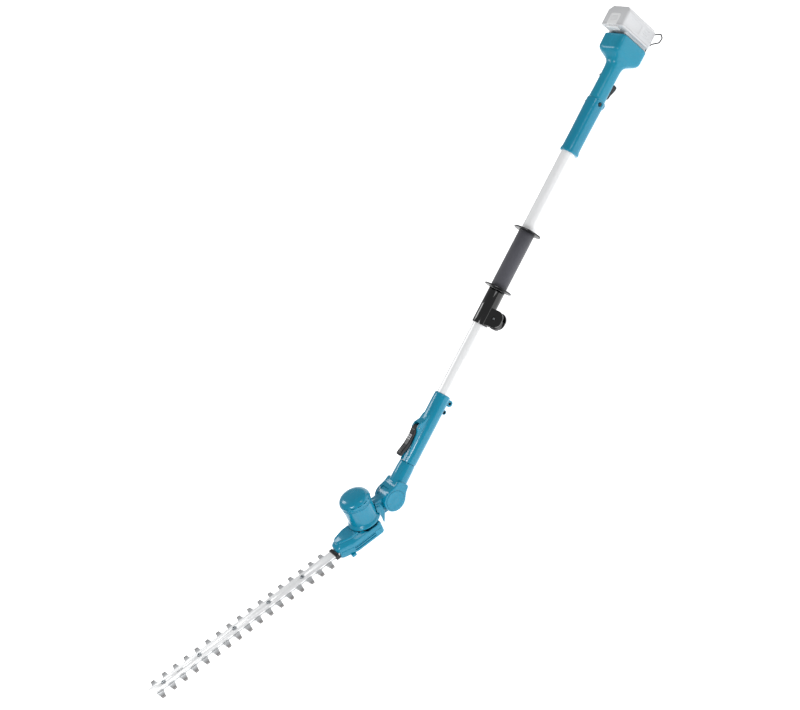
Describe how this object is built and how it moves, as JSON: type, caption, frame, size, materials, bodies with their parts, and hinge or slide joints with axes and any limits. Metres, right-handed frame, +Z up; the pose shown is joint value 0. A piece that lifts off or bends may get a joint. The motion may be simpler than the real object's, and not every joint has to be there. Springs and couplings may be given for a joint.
{
  "type": "cordless pole hedge trimmer",
  "caption": "Cordless telescopic pole hedge trimmer: a tilting head with a motor and double-sided reciprocating blades on a sliding pole, a trigger handle and a slide-on battery.",
  "frame": {"origin": "the middle of the battery mount's flat underside, on the surface that the tool lies on", "axes": "+X runs along the pole from the blade towards the battery, +Z points up to the adjusting lever's side and away from the trigger, and +Y completes the right-handed frame"},
  "size_m": [1.9363, 0.1026, 0.4108],
  "materials": {
    "teal": "glossy teal moulding",
    "light_teal": "satin light teal moulding",
    "black": "black moulded plastic",
    "gloss_black": "glossy black moulded plastic",
    "grip": "soft dark grey grip",
    "tube": "satin silver tube",
    "steel": "bright steel",
    "dark_steel": "blackened steel",
    "pale": "pale grey moulded plastic",
    "cells": "plastic-sleeved cells",
    "copper": "enamelled copper windings on a laminated core",
    "board": "potted circuit board"
  },
  "bodies": {
    "handle": {"handle_shell_left": "teal", "handle_shell_right": "teal", "rear_housing_left": "light_teal", "rear_housing_right": "light_teal", "housing_screw_1": "dark_steel", "housing_screw_2": "dark_steel", "housing_screw_3": "dark_steel", "trigger_pin": "steel", "trigger_spring": "steel", "switch_unit": "black", "controller_board": "board", "terminal_block": "black", "outer_tube": "tube", "grip_flange_upper": "black", "grip_flange_lower": "black", "grip_sleeve": "grip", "clamp_sleeve": "gloss_black", "clamp_pin": "steel"},
    "trigger": {"trigger": "black"},
    "lock_off": {"lock_off_button": "black"},
    "hanger": {"hanger_loop": "dark_steel"},
    "battery": {"battery_case": "pale", "battery_lid": "black", "battery_cells": "cells"},
    "battery_button": {"battery_release_button": "pale"},
    "clamp_lever": {"clamp_lever": "gloss_black"},
    "inner_pole": {"inner_tube": "tube", "inner_tube_guide": "black", "coiled_lead": "black", "adjusting_housing_left": "teal", "adjusting_housing_right": "teal", "adjusting_screw_1": "dark_steel", "adjusting_screw_2": "dark_steel", "lever_pin": "steel", "lever_spring": "steel", "coupling_fork": "teal", "pivot_cover_left": "teal", "pivot_cover_right": "teal", "pivot_bolt": "steel"},
    "adjusting_lever": {"adjusting_lever": "black"},
    "lock_bolt": {"lock_bolt": "steel"},
    "head": {"head_neck": "teal", "gear_housing_upper": "teal", "gear_housing_lower": "teal", "blade_root_guard": "black", "motor_housing": "teal", "motor_cap": "teal", "motor_stator": "copper", "motor_bearing_plate": "tube", "crank_pin": "dark_steel", "guide_bar": "tube", "bar_bolt_1": "steel", "bar_bolt_2": "steel", "bar_bolt_3": "steel", "bar_bolt_4": "steel", "bar_bolt_5": "steel"},
    "rotor": {"motor_rotor": "steel"},
    "crank": {"crank_gear": "steel"},
    "upper_blade": {"upper_blade": "steel"},
    "lower_blade": {"lower_blade": "steel"}
  },
  "joints": [
    {"name": "telescope", "type": "slide", "parent": "handle", "child": "inner_pole", "axis": [-1, 0, 0], "range_m": [0, 0.45]},
    {"name": "head_tilt", "type": "hinge", "parent": "inner_pole", "child": "head", "pos_m": [-1.2309, 0, 0.048], "axis": [0, 1, 0], "range_deg": [-78, 37]},
    {"name": "crank_spin", "type": "hinge", "parent": "head", "child": "crank", "pos_m": [-1.32777, 0, 0.11091], "axis": [0.5446, 0, 0.8387], "range_deg": [-91, 91]},
    {"name": "motor_spin", "type": "hinge", "parent": "head", "child": "rotor", "pos_m": [-1.30135, 0, 0.09375], "axis": [0.5446, 0, 0.8387], "range_deg": [-305, 305]},
    {"name": "upper_blade_slide", "type": "slide", "parent": "head", "child": "upper_blade", "axis": [-0.8387, 0, 0.5446], "range_m": [-0.0075, 0.0075]},
    {"name": "lower_blade_slide", "type": "slide", "parent": "head", "child": "lower_blade", "axis": [-0.8387, 0, 0.5446], "range_m": [-0.0076, 0.0076]},
    {"name": "lever_press", "type": "hinge", "parent": "inner_pole", "child": "adjusting_lever", "pos_m": [-1.0489, 0, 0.075], "axis": [0, -1, 0], "range_deg": [0, 6.2], "stiffness_Nm_per_rad": 2.5, "springref_deg": -14.32, "deforming": ["lever_spring"]},
    {"name": "lock_bolt_slide", "type": "slide", "parent": "inner_pole", "child": "lock_bolt", "axis": [1, 0, 0], "range_m": [0, 0.0045]},
    {"name": "trigger_pull", "type": "hinge", "parent": "handle", "child": "trigger", "pos_m": [-0.125, 0, 0.0316], "axis": [0, -1, 0], "range_deg": [0, 8], "stiffness_Nm_per_rad": 1.2, "springref_deg": -17.19, "deforming": ["trigger_spring"]},
    {"name": "lock_off_press", "type": "slide", "parent": "handle", "child": "lock_off", "axis": [0, 1, 0], "range_m": [0, 0.003], "stiffness_N_per_m": 900, "springref_m": -0.003},
    {"name": "clamp_open", "type": "hinge", "parent": "handle", "child": "clamp_lever", "pos_m": [-0.73058, -0.03245, 0.03489], "axis": [0, -0.3746, 0.9272], "range_deg": [0, 80]},
    {"name": "battery_slide", "type": "slide", "parent": "handle", "child": "battery", "axis": [0, 0, 1], "range_m": [0, 0.095]},
    {"name": "battery_button_press", "type": "slide", "parent": "battery", "child": "battery_button", "axis": [1, 0, 0], "range_m": [0, 0.0025], "stiffness_N_per_m": 1200, "springref_m": -0.002},
    {"name": "hanger_swing", "type": "hinge", "parent": "handle", "child": "hanger", "pos_m": [0.014, -0.018, 0.0016], "axis": [0, 1, 0], "range_deg": [0, 90]}
  ],
  "couplings": [
    {"joint": "crank_spin", "follows": "upper_blade_slide", "rad_per_m": 209.44},
    {"joint": "motor_spin", "follows": "upper_blade_slide", "rad_per_m": -706.86},
    {"joint": "lower_blade_slide", "follows": "upper_blade_slide", "ratio": -1},
    {"joint": "lever_press", "follows": "lock_bolt_slide", "rad_per_m": 23.271}
  ]
}
